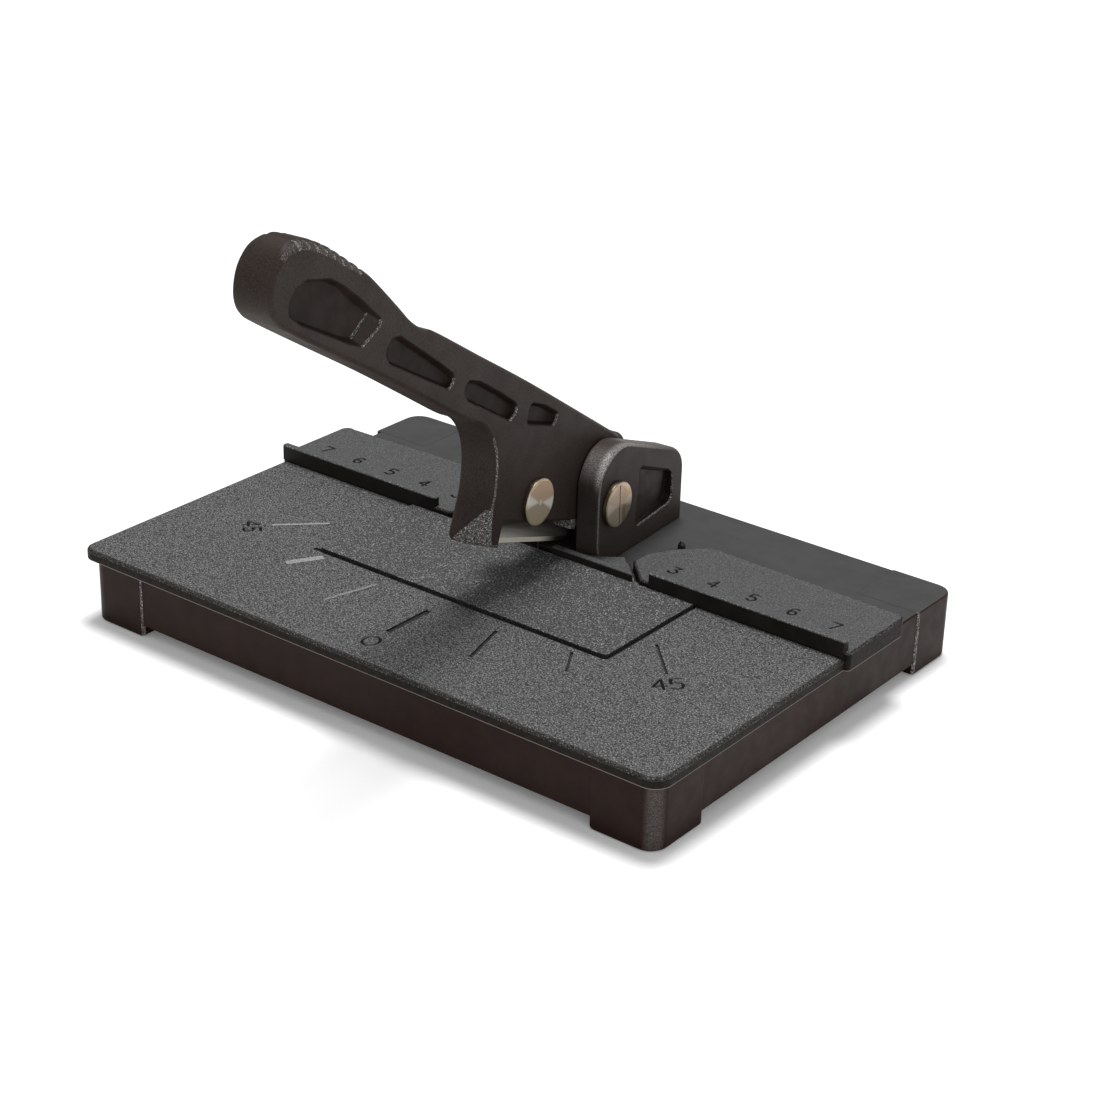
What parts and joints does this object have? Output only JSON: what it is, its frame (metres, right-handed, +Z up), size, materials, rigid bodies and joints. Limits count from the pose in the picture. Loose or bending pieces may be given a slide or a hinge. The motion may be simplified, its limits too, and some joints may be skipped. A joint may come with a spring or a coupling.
{
  "type": "strip cutter",
  "caption": "Small bench cutter for thin strips: a blade lever in a yoke that turns over an angle fan on a ruled, fenced deck with a low tray base.",
  "frame": {"origin": "on the bench, in the middle of the outer box", "axes": "+X runs to the right along the fences, +Y from the front edge to the yoke, +Z up"},
  "size_m": [0.1554, 0.1428, 0.111],
  "materials": {
    "tray": "smooth moulded plastic, brownish black",
    "deck": "grained moulded plastic, dark grey with fine sparkle",
    "plate": "grained moulded plastic, darker than the deck",
    "fence": "finely grained moulded plastic, dark grey",
    "arm": "grained moulded plastic, black",
    "pin": "smooth black plastic",
    "zinc": "zinc-plated steel",
    "nickel": "turned and nickel-plated steel, warm tint",
    "brass": "plain turned brass",
    "blade": "ground blade steel"
  },
  "bodies": {
    "base": {"base_tray": "tray", "front_deck": "deck", "cutting_plate": "plate", "left_fence": "fence", "right_fence": "fence", "left_low_fence": "fence", "right_low_fence": "fence", "stop_pins": "pin", "deck_screws": "zinc", "fence_screws": "zinc", "swivel_bolt": "zinc", "swivel_washer": "zinc", "swivel_spring": "zinc", "swivel_nut": "zinc"},
    "head": {"yoke": "arm", "pivot_screw": "nickel", "pivot_washer": "zinc", "pivot_nut": "zinc"},
    "arm": {"lever": "arm", "pivot_bush": "brass", "blade": "blade", "blade_pins": "zinc", "clamp_screw": "nickel", "clamp_washer": "zinc", "clamp_nut": "zinc"}
  },
  "joints": [
    {"name": "head_swivel", "type": "hinge", "parent": "base", "child": "head", "pos_m": [-0.0005, 0.04998, 0.0147], "axis": [0, 0, 1], "range_deg": [-49.3, 40.7]},
    {"name": "lever_hinge", "type": "hinge", "parent": "head", "child": "arm", "pos_m": [0.00071, 0.03383, 0.0284], "axis": [-0.9972, -0.075, 0], "range_deg": [-19.2, 60]}
  ]
}
